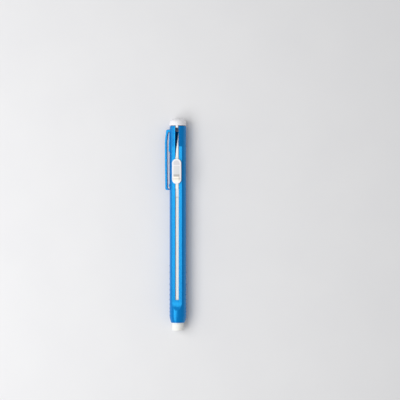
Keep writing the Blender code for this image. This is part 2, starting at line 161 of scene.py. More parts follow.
def linear(hex_colour):
    """Turn an sRGB hex colour into the linear RGBA of a colour socket."""
    channels = [int(hex_colour[i:i + 2], 16) / 255 for i in (0, 2, 4)]
    return tuple(((c + 0.055) / 1.055) ** 2.4 if c > 0.04045 else c / 12.92 for c in channels) + (1.0,)


def mix_colour(tree, factor, first, second):
    """Blend two colours by a mask. A Mix node keeps its colour sockets at inputs 6 and 7, output 2."""
    node = add_node(tree, "ShaderNodeMix", {"data_type": "RGBA"})
    for socket, value in zip((node.inputs[0], node.inputs[6], node.inputs[7]), (factor, first, second)):
        plug(tree, socket, value)
    return node.outputs[2]


def calculate(tree, operation, first, second):
    """One step of arithmetic on two numbers or sockets."""
    node = add_node(tree, "ShaderNodeMath", {"operation": operation})
    plug(tree, node.inputs[0], first)
    plug(tree, node.inputs[1], second)
    return node.outputs["Value"]


def fade(tree, value, start, end, low=0.0, high=1.0):
    """A mask that goes from low to high while the value goes from start to end."""
    node = add_node(tree, "ShaderNodeMapRange", Value=value, From_Min=start, From_Max=end,
                    To_Min=low, To_Max=high)
    return node.outputs["Result"]


def spread(tree, mask, low, high):
    """Map a 0 to 1 mask onto a range."""
    return fade(tree, mask, 0.0, 1.0, low, high)


def stretch(tree, coordinates, scale):
    """Scale a pattern's coordinates, for streaks that run one way."""
    node = add_node(tree, "ShaderNodeMapping", Vector=coordinates, Scale=scale)
    return node.outputs["Vector"]


def noise(tree, coordinates, scale, detail=3.0, roughness=0.5):
    """A cloudy pattern between 0 and 1."""
    node = add_node(tree, "ShaderNodeTexNoise", Vector=coordinates, Scale=scale,
                    Detail=detail, Roughness=roughness)
    return node.outputs["Fac"]


print("middle grey in linear light:", round(linear("808080")[0], 3))

# %% [markdown]
# ## The skin of a moulded part
#
# Plastic straight from a mould is never perfectly even. Its gloss is broken by a very fine orange peel,
# by cloudy flow marks where the melt ran along the part, and by hairline scuffs from handling. The four
# plastic pieces share these effects, so they live in one node group. It gives out three masks, and each
# material decides how strongly it uses them.

# %% Build the moulded skin group
STREAK_SHARE = 0.25


def moulded_skin_group():
    group = bpy.data.node_groups.new("moulded_skin", "ShaderNodeTree")
    group.interface.new_socket("Coordinates", in_out="INPUT", socket_type="NodeSocketVector")
    group.interface.new_socket("Peel Scale", in_out="INPUT", socket_type="NodeSocketFloat")
    for name in ("Height", "Gloss Mask", "Tone Mask"):
        group.interface.new_socket(name, in_out="OUTPUT", socket_type="NodeSocketFloat")
    start = group.nodes.new("NodeGroupInput")
    end = group.nodes.new("NodeGroupOutput")
    place = start.outputs["Coordinates"]

    peel = noise(group, place, start.outputs["Peel Scale"], detail=4.0, roughness=0.55)
    flow = noise(group, stretch(group, place, (1.0, 0.2, 1.0)), 190.0, detail=2.0)
    streaks = noise(group, stretch(group, place, (1.0, 0.012, 1.0)), 4200.0, detail=2.0, roughness=0.6)
    scuffs = noise(group, stretch(group, place, (0.5, 0.09, 0.5)), 2600.0, detail=5.0, roughness=0.7)
    height = calculate(group, "ADD", peel, spread(group, streaks, 0.0, STREAK_SHARE))
    gloss = calculate(group, "MULTIPLY", calculate(group, "ADD", flow, scuffs), 0.5)
    for name, mask in (("Height", height), ("Gloss Mask", gloss), ("Tone Mask", flow)):
        group.links.new(mask, end.inputs[name])
    return group


moulded_skin = moulded_skin_group()
print("group", moulded_skin.name, "with", len(moulded_skin.nodes), "nodes")

# %% [markdown]
# ## Plastic materials
#
# A plastic is a Principled BSDF whose colour drifts a little between two shades along the flow marks,
# whose roughness follows the scuffs, and whose surface has the fine peel as bump. The blue barrel is
# the glossiest piece: its reflections are strong and light blue, which takes a raised index of
# refraction and a tint on them. The cap, the button and the carriage are the same white plastic with a
# slightly different finish each.

# %% Make the four plastics
PEEL_STRENGTH = 0.35


def plastic(name, shades, gloss, peel_scale, peel_depth):
    """shades are two hex colours, and gloss is the lowest and the highest roughness."""
    material, tree, shader, place = new_material(name)
    skin = add_node(tree, "ShaderNodeGroup", {"node_tree": moulded_skin},
                    Coordinates=place, Peel_Scale=peel_scale)
    bump = add_node(tree, "ShaderNodeBump", Height=skin.outputs["Height"],
                    Strength=PEEL_STRENGTH, Distance=peel_depth)
    colour = mix_colour(tree, skin.outputs["Tone Mask"], *[linear(shade) for shade in shades])
    plug(tree, shader.inputs["Base Color"], colour)
    plug(tree, shader.inputs["Roughness"], spread(tree, skin.outputs["Gloss Mask"], *gloss))
    plug(tree, shader.inputs["Normal"], bump.outputs["Normal"])
    material.diffuse_color = linear(shades[0])
    return material


barrel_blue = plastic("barrel_blue", ("0070c3", "006cbb"), (0.18, 0.30), 1500.0, 0.012 * MM)
blue_shader = barrel_blue.node_tree.nodes["Principled BSDF"]
blue_shader.inputs["IOR"].default_value = 1.8
blue_shader.inputs["Specular IOR Level"].default_value = 1.0
blue_shader.inputs["Specular Tint"].default_value = linear("40ccff")
cap_white = plastic("cap_white", ("f3f2f5", "ebeaee"), (0.26, 0.42), 1300.0, 0.012 * MM)
button_white = plastic("button_white", ("f6f5f7", "eeedf0"), (0.22, 0.36), 1700.0, 0.010 * MM)
carriage_white = plastic("carriage_white", ("f6f6f4", "eeeeeb"), (0.34, 0.50), 1200.0, 0.014 * MM)
print("plastics made for", barrel_blue.name, cap_white.name, button_white.name, carriage_white.name)

# %% [markdown]
# ## Eraser vinyl
#
# Eraser vinyl is soft, matt and slightly waxy, and light goes a little way in. It is extruded as a long
# rod, which leaves faint lines along it, and it is filled with chalk, which shows as a fine grain and a
# few tiny pores. The warm white comes from two close shades. The relief is the sum of grain, lines and
# pores, each with its own share.

# %% Make the vinyl
GRAIN_SHARE = 0.5
LINE_SHARE = 0.35
PORE_SHARE = 0.4


def vinyl():
    material, tree, shader, place = new_material("eraser_vinyl")
    grain = noise(tree, place, 3200.0, detail=5.0, roughness=0.65)
    clouds = noise(tree, place, 260.0)
    lines = noise(tree, stretch(tree, place, (1.0, 0.008, 1.0)), 1900.0, detail=2.0, roughness=0.6)
    cells = add_node(tree, "ShaderNodeTexVoronoi", Vector=place, Scale=1400.0)
    pores = fade(tree, cells.outputs["Distance"], 0.05, 0.22)
    height = calculate(tree, "ADD", calculate(tree, "MULTIPLY", grain, GRAIN_SHARE),
                       calculate(tree, "MULTIPLY", lines, LINE_SHARE))
    height = calculate(tree, "ADD", height, calculate(tree, "MULTIPLY", pores, PORE_SHARE))
    bump = add_node(tree, "ShaderNodeBump", Height=height, Strength=0.5, Distance=0.03 * MM)
    colour = mix_colour(tree, clouds, linear("f4f5f1"), linear("ecece6"))
    plug(tree, shader.inputs["Base Color"], colour)
    plug(tree, shader.inputs["Roughness"], spread(tree, grain, 0.48, 0.72))
    plug(tree, shader.inputs["Normal"], bump.outputs["Normal"])
    shader.inputs["Subsurface Weight"].default_value = 0.15
    shader.inputs["Subsurface Radius"].default_value = (1.0, 0.8, 0.6)
    shader.inputs["Subsurface Scale"].default_value = 0.2 * MM
    material.diffuse_color = linear("f6f1e6")
    return material


eraser_vinyl = vinyl()
print("vinyl made with", len(eraser_vinyl.node_tree.nodes), "nodes")

# %% [markdown]
# ## Outlines
#
# Most of the holder is turned or extruded, so its shape starts as an outline with rounded corners. A
# drawn curve would need handles at every bend. Giving each corner its own radius keeps an outline down
# to the points that matter. The button's outline is a first trial of the helpers here and below.

# %% Outline helpers
MERGE = 0.001 * MM


def soft_outline(corners, steps=5):
    """Replace each (a, b, radius) corner of a closed outline by an arc of that radius."""
    points = []
    for i, (a, b, radius) in enumerate(corners):
        here = Vector((a, b))
        if radius == 0.0:
            points.append(here)
            continue
        back = (Vector(corners[i - 1][:2]) - here).normalized()
        onward = (Vector(corners[(i + 1) % len(corners)][:2]) - here).normalized()
        half = back.angle(onward) / 2
        centre = here + (back + onward).normalized() * radius / math.sin(half)
        first = here + back * radius / math.tan(half) - centre
        last = here + onward * radius / math.tan(half) - centre
        start = math.atan2(first.y, first.x)
        turn = (math.atan2(last.y, last.x) - start + math.pi) % (2 * math.pi) - math.pi
        for k in range(steps + 1):
            angle = start + turn * k / steps
            points.append(centre + radius * Vector((math.cos(angle), math.sin(angle))))
    return [tuple(point) for i, point in enumerate(points) if (point - points[i - 1]).length > MERGE]


def bar_outline(half_width, low_y, high_y, front=0.0, rear=0.0, steps=5):
    """Outline of a bar along Y, with a radius for its two front and its two rear corners."""
    corners = ((-1, low_y, front), (1, low_y, front), (1, high_y, rear), (-1, high_y, rear))
    return soft_outline([(side * half_width, y, radius) for side, y, radius in corners], steps)


def round_ended(half_width, low_y, high_y, steps=10):
    """Outline of a bar along Y whose ends are half circles."""
    return bar_outline(half_width, low_y, high_y, half_width, half_width, steps)


trial_outline = round_ended(button_high.x, button_low.y, button_high.y)
print("a round-ended outline of the button's size has", len(trial_outline), "points")

# %% [markdown]
# ## Turning and extruding
#
# An outline becomes a solid in one of two ways: it is spun round the Y axis, as on a lathe, or extruded
# straight into a block. A spin leaves doubled points on the axis, and either can come out inside out,
# so both end by merging doubles and turning every face outwards.

# %% Solid helpers
def face_outwards(bm):
    """Merge doubles and turn every face outwards."""
    bmesh.ops.remove_doubles(bm, verts=bm.verts, dist=MERGE)
    bmesh.ops.recalc_face_normals(bm, faces=bm.faces)
    if bm.calc_volume(signed=True) < 0:
        bmesh.ops.reverse_faces(bm, faces=bm.faces)


def spin_outline(outline, sides, closed=False):
    """Spin (radius, y) points round the Y axis. An open outline starts and ends on the axis."""
    bm = bmesh.new()
    verts = [bm.verts.new((radius, y, 0.0)) for radius, y in outline]
    pairs = list(zip(verts, verts[1:]))
    if closed:
        pairs.append((verts[-1], verts[0]))
    edges = [bm.edges.new(pair) for pair in pairs]
    bmesh.ops.spin(bm, geom=verts + edges, cent=(0, 0, 0), axis=(0, 1, 0),
                   angle=2 * math.pi, steps=sides, use_merge=True)
    face_outwards(bm)
    return bm


def extrude_outline(outline, low, high, axis="Z"):
    """Extrude a closed outline of (x, y) points along Z, (x, z) along Y or (y, z) along X."""
    bm = bmesh.new()
    i = "XYZ".index(axis)
    face = bm.faces.new([bm.verts.new((*point[:i], low, *point[i:])) for point in outline])
    step = Vector((0.0, 0.0, 0.0))
    step[i] = high - low
    grown = bmesh.ops.extrude_face_region(bm, geom=[face])["geom"]
    moved = [item for item in grown if isinstance(item, bmesh.types.BMVert)]
    bmesh.ops.translate(bm, verts=moved, vec=step)
    face_outwards(bm)
    return bm


trial = extrude_outline(trial_outline, button_low.z, button_high.z)
print("extruded to the button's height it holds", round(trial.calc_volume() / MM ** 3), "cubic mm")

# %% [markdown]
# ## Rounding edges and combining blocks
#
# The edges to round are picked by the plane that they lie in, and bevelled. Blocks are cut or joined
# with a Boolean modifier, because its exact solver copes with faces that touch. The modifier needs
# objects, so both meshes get one for a moment and the result is read back into a bmesh.

# %% Edge and Boolean helpers
def rim_edges(bm, axis, place):
    """Edges that lie wholly in the plane where the axis has that value."""
    return [e for e in bm.edges if all(abs(v.co[axis] - place) < MERGE for v in e.verts)]


def round_edges(bm, edges, radius, segments):
    bmesh.ops.bevel(bm, geom=edges, offset=radius, segments=segments, profile=0.5,
                    affect="EDGES", material=-1, clamp_overlap=True)
    bmesh.ops.remove_doubles(bm, verts=bm.verts, dist=MERGE)


def to_object(name, bm, material=None):
    """Put a bmesh into the scene as an object. The bmesh is used up."""
    mesh = bpy.data.meshes.new(name)
    bm.to_mesh(mesh)
    bm.free()
    if material:
        mesh.materials.append(material)
    return add_object(name, mesh)


def combine(bm, other, operation):
    """Cut or join two closed meshes and return the result. Both are used up."""
    holders = [to_object("blank", shape) for shape in (bm, other)]
    modifier = holders[0].modifiers.new("combine", "BOOLEAN")
    modifier.operation = operation
    modifier.solver = "EXACT"
    modifier.object = holders[1]
    result = bmesh.new()
    result.from_object(holders[0], bpy.context.evaluated_depsgraph_get())
    for holder in holders:
        mesh = holder.data
        bpy.data.objects.remove(holder)
        bpy.data.meshes.remove(mesh)
    bmesh.ops.remove_doubles(result, verts=result.verts, dist=MERGE / 2)
    return result


print("its upper rim has", len(rim_edges(trial, 2, button_high.z)), "edges")
trial.free()

# %% [markdown]
# ## Handing a mesh over as a piece
#
# A finished piece gets smooth shading with sharp edges only where the surface really breaks, and
# weighted normals, so that large faces stay flat beside their rounded edges. It then rides on a body of
# the frame and stands in for its node, which is hidden.

# %% Make a piece
SHARP_ANGLE = math.radians(35.0)


def make_piece(name, bm, material, node, body):
    piece = to_object(name, bm, material)
    piece.data.shade_smooth()
    piece.data.set_sharp_from_angle(angle=SHARP_ANGLE)
    shading = piece.modifiers.new("even shading", "WEIGHTED_NORMAL")
    shading.keep_sharp = True
    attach(piece, body)
    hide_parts(node)
    triangles = sum(len(face.vertices) - 2 for face in piece.data.polygons)
    print(f"{name}: {triangles} triangles, rides on {body}")


print("edges over", round(math.degrees(SHARP_ANGLE)), "degrees stay sharp")

# %% [markdown]
# ## Barrel: the turned tube
#
# The barrel is one blue moulding. Its base is a tube that tapers to a soft nose, with a fine ring
# step near the mouth. It could be made from a cylinder with loop cuts, but a closed outline of the
# wall, spun once round the axis, gives the outside, the bore and both rims in one go.

# %% Spin the barrel's wall
BARREL_SIDES = 120
BORE_RADIUS = 3.8 * MM
MOUTH_LIP = 0.3 * MM
BORE_RIM = 0.15 * MM
NOSE_LENGTH = 3.9 * MM
NOSE_DROP = 0.87 * MM
NOSE_STEPS = 9
RING_FROM_MOUTH = 3.2 * MM
RING_STEP = 0.09 * MM
RING_SLOPE = 0.12 * MM
BEHIND_RING_STEPS = 4
REAR_EDGE = 0.4 * MM


def outside_radius(y):
    """Radius of the barrel's outside at y, without the ribs."""
    behind = y - MOUTH_Y
    if behind >= NOSE_LENGTH:
        return BARREL_RADIUS
    step = RING_STEP if behind < RING_FROM_MOUTH - RING_SLOPE / 2 else 0.0
    return BARREL_RADIUS - NOSE_DROP * ((NOSE_LENGTH - behind) / NOSE_LENGTH) ** 2 - step


def nose_stations():
    """Places along the nose, closer together at the ring."""
    first, ring = MOUTH_Y + MOUTH_LIP, MOUTH_Y + RING_FROM_MOUTH
    before = RING_FROM_MOUTH - RING_SLOPE - MOUTH_LIP
    after = NOSE_LENGTH - RING_FROM_MOUTH
    return ([first + before * i / NOSE_STEPS for i in range(1, NOSE_STEPS + 1)]
            + [ring + after * i / BEHIND_RING_STEPS for i in range(BEHIND_RING_STEPS + 1)])


def barrel_wall():
    outline = soft_outline([
        (BORE_RADIUS, REAR_Y, BORE_RIM),
        (BORE_RADIUS, MOUTH_Y, BORE_RIM),
        (outside_radius(MOUTH_Y + MOUTH_LIP), MOUTH_Y, MOUTH_LIP),
        *[(outside_radius(y), y, 0.0) for y in nose_stations()],
        (BARREL_RADIUS, REAR_Y, REAR_EDGE),
    ])
    return spin_outline(outline, BARREL_SIDES, closed=True)


barrel = barrel_wall()
print("barrel wall:", len(barrel.faces), "faces")

# %% [markdown]
# ## Barrel: the track and the slot
#
# The button runs on a flat track sunk into the tube. At the front the track bends slowly up into a
# shallow ramp, at the rear it ends in a step, and a slot runs down its middle and out at the cap end.
# Cutting faces by hand would be slow on a round tube. Two Boolean cuts do it: one block for the track
# with the ramp in its side outline, and one bar for the slot.

# %% Cut the track and the slot
TRACK_HEIGHT = 4.2 * MM
TRACK_FRONT_Y = MOUTH_Y + 7.75 * MM
TRACK_RAMP = 3.6 * MM
TRACK_REAR_Y = REAR_Y - 12.9 * MM
RAMP_BLEND = 14.0 * MM
SLOT_HALF = 1.1 * MM
SLOT_FRONT_Y = MOUTH_Y + 14.4 * MM
SLOT_CORNER = 0.3 * MM
OVERCUT = 5.0 * MM


def track_block():
    foot_y = TRACK_FRONT_Y + TRACK_RAMP
    top = BARREL_RADIUS + OVERCUT
    slope = (BARREL_RADIUS - TRACK_HEIGHT) / TRACK_RAMP
    outline = soft_outline([
        (foot_y, TRACK_HEIGHT, RAMP_BLEND),
        (TRACK_REAR_Y, TRACK_HEIGHT, 0.0),
        (TRACK_REAR_Y, top, 0.0),
        (foot_y - (top - TRACK_HEIGHT) / slope, top, 0.0),
    ])
    return extrude_outline(outline, -BARREL_RADIUS - OVERCUT, BARREL_RADIUS + OVERCUT, "X")


def slot_bar():
    outline = bar_outline(SLOT_HALF, SLOT_FRONT_Y, REAR_Y + OVERCUT, SLOT_CORNER, steps=3)
    return extrude_outline(outline, 0.0, BARREL_RADIUS + OVERCUT)


for block in (track_block(), slot_bar()):
    barrel = combine(barrel, block, "DIFFERENCE")
print("barrel with its track and slot:", len(barrel.faces), "faces")

# %% [markdown]
# ## Barrel: the rims of the cuts
#
# A moulding has no razor edges, so every edge that the cuts left is found by its angle and broken by a
# hair's breadth. A wider bevel would be held back by the short edges at the slot's ends. Two more cuts
# with a flared cross section, like a router bit's, round the slot's rims instead: one on the track and
# one on the round collar behind it.

# %% Round the rims
NEAR = 0.01 * MM
CUT_ANGLE = math.radians(10.0)
EDGE_BREAK = 0.02 * MM
RIM_ROUND = 0.12 * MM
RIM_STEPS = 5


def cut_rims(bm):
    """Outward edges that the cuts left on the upper side, without the tube's own rings."""
    rims = []
    for edge in bm.edges:
        first, second = (v.co for v in edge.verts)
        high = min(first.z, second.z) > TRACK_HEIGHT - NEAR
        inside = TRACK_FRONT_Y - NEAR < min(first.y, second.y)
        ring = max(first.y, second.y) > REAR_Y - 1.1 * REAR_EDGE and abs(first.y - second.y) < MERGE
        if high and inside and not ring and edge.is_manifold:
            if edge.calc_face_angle_signed() > CUT_ANGLE:
                rims.append(edge)
    return rims


def flared_cut(top, low_y, high_y):
    """Cut that rounds both rims of the slot where the surface beside it lies at this height."""
    angles = [math.pi / 2 * step / RIM_STEPS for step in range(RIM_STEPS + 1)]
    right = [(SLOT_HALF + RIM_ROUND * (1 - math.cos(a)), top - RIM_ROUND * (1 - math.sin(a)))
             for a in angles]
    right.append((SLOT_HALF + RIM_ROUND, top + RIM_ROUND))
    left = [(-x, z) for x, z in reversed(right)]
    return extrude_outline(right + left, low_y, high_y, "Y")


rims = cut_rims(barrel)
round_edges(barrel, rims, EDGE_BREAK, segments=1)
collar_top = math.sqrt(BARREL_RADIUS ** 2 - (SLOT_HALF + RIM_ROUND) ** 2)
for block in (flared_cut(TRACK_HEIGHT, SLOT_FRONT_Y, TRACK_REAR_Y),
              flared_cut(collar_top, TRACK_REAR_Y - RIM_ROUND, REAR_Y + OVERCUT)):
    barrel = combine(barrel, block, "DIFFERENCE")
print("broke", len(rims), "edges, and the barrel has", len(barrel.faces), "faces")

# %% [markdown]
# ## Barrel: the pocket clip
#
# The clip is part of the same moulding. Seen from the side it leaves the tube near the cap, turns a
# round corner, swells away from the tube and runs down to a lip that turns in. A curve with a bevel
# would give it a round section. A side outline extruded to the clip's width, with its long edges
# rounded, is as short and gives the flat section of the real one.

# %% Shape the clip
CLIP_LENGTH = 38.1 * MM
CLIP_TOP_Y = REAR_Y - 2.2 * MM
CLIP_THICKNESS = 1.3 * MM
CLIP_HALF_WIDTH = 1.9 * MM
CLIP_ROOT = 1.7 * MM
CLIP_SWELL = 1.15 * MM
CLIP_SWELL_LENGTH = 8.5 * MM
CLIP_TIP_DROP = 0.25 * MM
CLIP_CORNER = 1.1 * MM
CLIP_TIP_CORNER = 1.0 * MM
CLIP_LIP = 0.95 * MM
CLIP_LIP_ROUND = 0.35 * MM
CLIP_EDGE = 0.3 * MM
CLIP_END = 3 * MM
CLIP_STATIONS = 16
WALL_MIDDLE = (BORE_RADIUS + BARREL_RADIUS) / 2


def clip_outside(y):
    """How far the clip's outer face stands from the axis at y."""
    swell_y = CLIP_TOP_Y - CLIP_SWELL_LENGTH
    if y > swell_y:
        share = (CLIP_TOP_Y - y) / CLIP_SWELL_LENGTH
        return CLIP_REACH - CLIP_SWELL * (1 - math.sin(share * math.pi / 2))
    share = (swell_y - y) / (CLIP_LENGTH - CLIP_SWELL_LENGTH)
    return CLIP_REACH - CLIP_TIP_DROP * share ** 2


def side_block(outline, half_width, edge_round, segments):
    """Block on the tube's -X side, from (x, y) points with x away from the axis, its sides rounded."""
    bm = extrude_outline([(-x, y) for x, y in outline], -half_width, half_width)
    sides = rim_edges(bm, 2, -half_width) + rim_edges(bm, 2, half_width)
    round_edges(bm, sides, edge_round, segments)
    return bm


def clip_block():
    tip_y = CLIP_TOP_Y - CLIP_LENGTH
    root_y = CLIP_TOP_Y - CLIP_ROOT
    lip_end, lip_top = BARREL_RADIUS + SEAT_GAP, tip_y + CLIP_LIP
    low_y, high_y = tip_y + CLIP_END, CLIP_TOP_Y - CLIP_END
    stations = [low_y + (high_y - low_y) * i / CLIP_STATIONS for i in range(CLIP_STATIONS + 1)]
    return side_block(soft_outline([
        (WALL_MIDDLE, root_y, 0.0),
        (WALL_MIDDLE, CLIP_TOP_Y, 0.0),
        (clip_outside(CLIP_TOP_Y - CLIP_CORNER), CLIP_TOP_Y, CLIP_CORNER),
        *[(clip_outside(y), y, 0.0) for y in reversed(stations)],
        (clip_outside(tip_y), tip_y, CLIP_TIP_CORNER),
        (lip_end, tip_y, CLIP_LIP_ROUND),
        (lip_end, lip_top, CLIP_LIP_ROUND),
        (clip_outside(lip_top) - CLIP_THICKNESS, lip_top, CLIP_LIP_ROUND),
        *[(clip_outside(y) - CLIP_THICKNESS, y, 0.0) for y in stations],
        (clip_outside(root_y) - CLIP_THICKNESS, root_y, CLIP_CORNER / 2),
    ]), CLIP_HALF_WIDTH, CLIP_EDGE, segments=4)


barrel = combine(barrel, clip_block(), "UNION")
print("barrel with its clip:", len(barrel.faces), "faces")

# %% [markdown]
# ## Barrel: the wedge and the pip
#
# Under the clip the tube carries two low forms. A long wedge beside the clip's root stops the edge of a
# pocket, and a round pip near the lip pinches the cloth. Both are side outlines too, so the clip's
# helper makes them: the wedge has a straight crest, and the pip is an arc through its length and height.

# %% Add the wedge and the pip
UNDER_CLIP_HALF = 1.0 * MM
UNDER_CLIP_EDGE = 0.15 * MM
WEDGE_END_Y = REAR_Y - 16.2 * MM
WEDGE_HEIGHT = 0.65 * MM
PIP_Y = REAR_Y - 37.5 * MM
PIP_LENGTH = 1.8 * MM
PIP_HEIGHT = 0.5 * MM
PIP_STEPS = 16


def wedge_outline():
    root_y = CLIP_TOP_Y - CLIP_ROOT / 2
    return soft_outline([
        (WALL_MIDDLE, root_y, 0.0),
        (BARREL_RADIUS + UNDER_CLIP_EDGE, root_y, 0.0),
        (BARREL_RADIUS + WEDGE_HEIGHT, WEDGE_END_Y, UNDER_CLIP_EDGE),
        (WALL_MIDDLE, WEDGE_END_Y, 0.0),
    ])


def pip_outline():
    half = PIP_LENGTH / 2
    radius = (half ** 2 + PIP_HEIGHT ** 2) / (2 * PIP_HEIGHT)
    centre = BARREL_RADIUS + PIP_HEIGHT - radius
    angles = [-math.pi / 2 + math.pi * i / PIP_STEPS for i in range(PIP_STEPS + 1)]
    return [(centre + radius * math.cos(a), PIP_Y + radius * math.sin(a)) for a in angles]


for outline in (wedge_outline(), pip_outline()):
    block = side_block(outline, UNDER_CLIP_HALF, UNDER_CLIP_EDGE, segments=3)
    barrel = combine(barrel, block, "UNION")
print("barrel with its wedge and pip:", len(barrel.faces), "faces")

# %% [markdown]
# ## Barrel: the grip ribs
#
# Fine ribs run across both sides of the nose end, further and further apart towards the middle. They
# rise smoothly out of the wall and fade at their ends. Separate rib blocks would leave a hard line all
# round each, so the wall itself is lifted: the side faces are sliced with bisect_plane at a few places
# across every rib, and the new vertices are moved outwards by a smooth formula.

# %% Raise the ribs
GRIP_COUNT = 11
GRIP_FIRST = 4.7 * MM
GRIP_FIRST_PITCH = 2.11 * MM
GRIP_PITCH_GROWTH = 0.225 * MM
GRIP_HALF_WIDTH = 0.5 * MM
GRIP_HEIGHT = 0.2 * MM
GRIP_FULL_ARC = math.radians(35.0)
GRIP_END_ARC = math.radians(42.0)
GRIP_SLICE_ARC = math.radians(45.0)
GRIP_SLICES = 10


def ease(share):
    """Smooth step from 0 to 1."""
    share = max(0.0, min(1.0, share))
    return share * share * (3 - 2 * share)


def rib_centres():
    y = MOUTH_Y + GRIP_FIRST
    centres = []
    for number in range(GRIP_COUNT):
        centres.append(y)
        y += GRIP_FIRST_PITCH + GRIP_PITCH_GROWTH * number
    return centres


def side_angle(point):
    """Angle of a point round the barrel, measured from the nearer side (+X or -X)."""
    return math.atan2(abs(point.z), abs(point.x))


def crosses_side(face, y):
    """Whether a face on the side of the outer wall reaches across this y."""
    places = [vert.co.y for vert in face.verts]
    corner = face.verts[0].co
    return (min(places) < y < max(places) and math.hypot(corner.x, corner.z) > WALL_MIDDLE
            and side_angle(face.calc_center_median()) < GRIP_SLICE_ARC)


def slice_sides(bm, centres):
    for centre in centres:
        for i in range(GRIP_SLICES + 1):
            y = centre + GRIP_HALF_WIDTH * (2 * i / GRIP_SLICES - 1)
            faces = [face for face in bm.faces if crosses_side(face, y)]
            # dict.fromkeys drops repeats and keeps the order, so that each run gives the same mesh.
            edges = dict.fromkeys(edge for face in faces for edge in face.edges)
            verts = dict.fromkeys(vert for face in faces for vert in face.verts)
            bmesh.ops.bisect_plane(bm, geom=[*verts, *edges, *faces], dist=MERGE,
                                   plane_co=(0, y, 0), plane_no=(0, 1, 0))


def raise_ribs(bm, centres):
    lifted = 0
    for vert in bm.verts:
        flat = Vector((vert.co.x, 0.0, vert.co.z))
        nearest = min(abs(vert.co.y - centre) for centre in centres)
        angle = side_angle(vert.co)
        if flat.length < WALL_MIDDLE or nearest > GRIP_HALF_WIDTH or angle > GRIP_END_ARC:
            continue
        across = 0.5 + 0.5 * math.cos(math.pi * nearest / GRIP_HALF_WIDTH)
        along = ease((GRIP_END_ARC - angle) / (GRIP_END_ARC - GRIP_FULL_ARC))
        vert.co += flat.normalized() * GRIP_HEIGHT * along * across
        lifted += 1
    return lifted


centres = rib_centres()
slice_sides(barrel, centres)
print("ribs:", len(centres), "on each side, from", raise_ribs(barrel, centres), "vertices")
make_piece("barrel_moulding", barrel, barrel_blue, "barrel", "barrel")

# %% [markdown]
# ## End cap
#
# The white cap closes the rear end. Its head is as wide as the barrel at the base, where a narrow band
# runs round it, and tapers to a well rounded end. Below the head a hollow plug sits in the bore, open
# along the top so that the carriage's tail can pass, and a small key fills the end of the slot. All
# of it but the gap and the key is round, so one spun outline makes it.

# %% Turn the cap
CAP_SIDES = 96
CAP_TOP_Y = cap_high.y
CAP_SEAT_Y = REAR_Y + SEAT_GAP
CAP_BASE = cap_high.x
CAP_CROWN = CAP_BASE - 0.3 * MM
CAP_ROUND = 2.2 * MM
CAP_BAND = 1.2 * MM
CAP_BAND_STEP = 0.1 * MM
CAP_RIM = 0.15 * MM
CAP_END_WALL = 1.1 * MM
PLUG_RADIUS = BORE_RADIUS - SEAT_GAP
PLUG_BORE = PLUG_RADIUS - 0.9 * MM
PLUG_CHAMFER = 0.3 * MM


def cap_body():
    plug_y = cap_low.y
    band_y = CAP_SEAT_Y + CAP_BAND
    outline = soft_outline([
        (0.0, CAP_TOP_Y, 0.0),
        (CAP_CROWN, CAP_TOP_Y, CAP_ROUND),
        (CAP_BASE - CAP_BAND_STEP, band_y + CAP_BAND_STEP, CAP_BAND_STEP / 2),
        (CAP_BASE, band_y, CAP_RIM / 2),
        (CAP_BASE, CAP_SEAT_Y, CAP_RIM),
        (PLUG_RADIUS, CAP_SEAT_Y, 0.0),
        (PLUG_RADIUS, plug_y, PLUG_CHAMFER),
        (PLUG_BORE, plug_y, CAP_RIM),
        (PLUG_BORE, CAP_TOP_Y - CAP_END_WALL, PLUG_CHAMFER),
        (0.0, CAP_TOP_Y - CAP_END_WALL, 0.0),
    ])
    return spin_outline(outline, CAP_SIDES)


cap = cap_body()
print("turned cap:", len(cap.faces), "faces")

# %% [markdown]
# ## End cap: the gap and the key
#
# The gap along the plug's top is a Boolean cut with a plain bar. The key that fills the end of the slot
# is a small bar with rounded front corners and a rounded upper rim, joined to the plug and the head.

# %% Cut the gap and add the key
PLUG_GAP_HALF = 1.5 * MM
KEY_HALF = 0.8 * MM
KEY_LENGTH = 1.2 * MM
KEY_ROUND = 0.25 * MM
KEY_TOP = BARREL_RADIUS - SEAT_GAP


def plug_gap():
    outline = bar_outline(PLUG_GAP_HALF, cap_low.y - OVERCUT, CAP_SEAT_Y)
    return extrude_outline(outline, 0.0, PLUG_RADIUS + OVERCUT)


def slot_key():
    outline = bar_outline(KEY_HALF, REAR_Y - KEY_LENGTH, CAP_SEAT_Y + CAP_BAND / 2, KEY_ROUND)
    bm = extrude_outline(outline, BORE_RADIUS, KEY_TOP)
    round_edges(bm, rim_edges(bm, 2, KEY_TOP), CAP_RIM, segments=3)
    return bm


cap = combine(cap, plug_gap(), "DIFFERENCE")
cap = combine(cap, slot_key(), "UNION")
make_piece("end_cap_moulding", cap, cap_white, "end_cap", "barrel")

# %% [markdown]
# ## Carriage: the jaws and the core
#
# The carriage slides inside the bore. Four springy jaws at its front hold the stick, and a solid core
# follows. Both are round, so they are spun from one outline, and two crossed slits cut by Booleans part
# the cup at the front into its four jaws.

# %% Turn the jaws and the core
CARRIAGE_SIDES = 96
CUP_Y = button_low.y + 0.1 * MM
JAW_BORE = CORE_RADIUS - 0.6 * MM
JAW_RIM = 0.08 * MM
JAW_SLIT = 0.8 * MM
JAW_SLIT_END = 1.3 * MM
CORE_LENGTH = 17.0 * MM


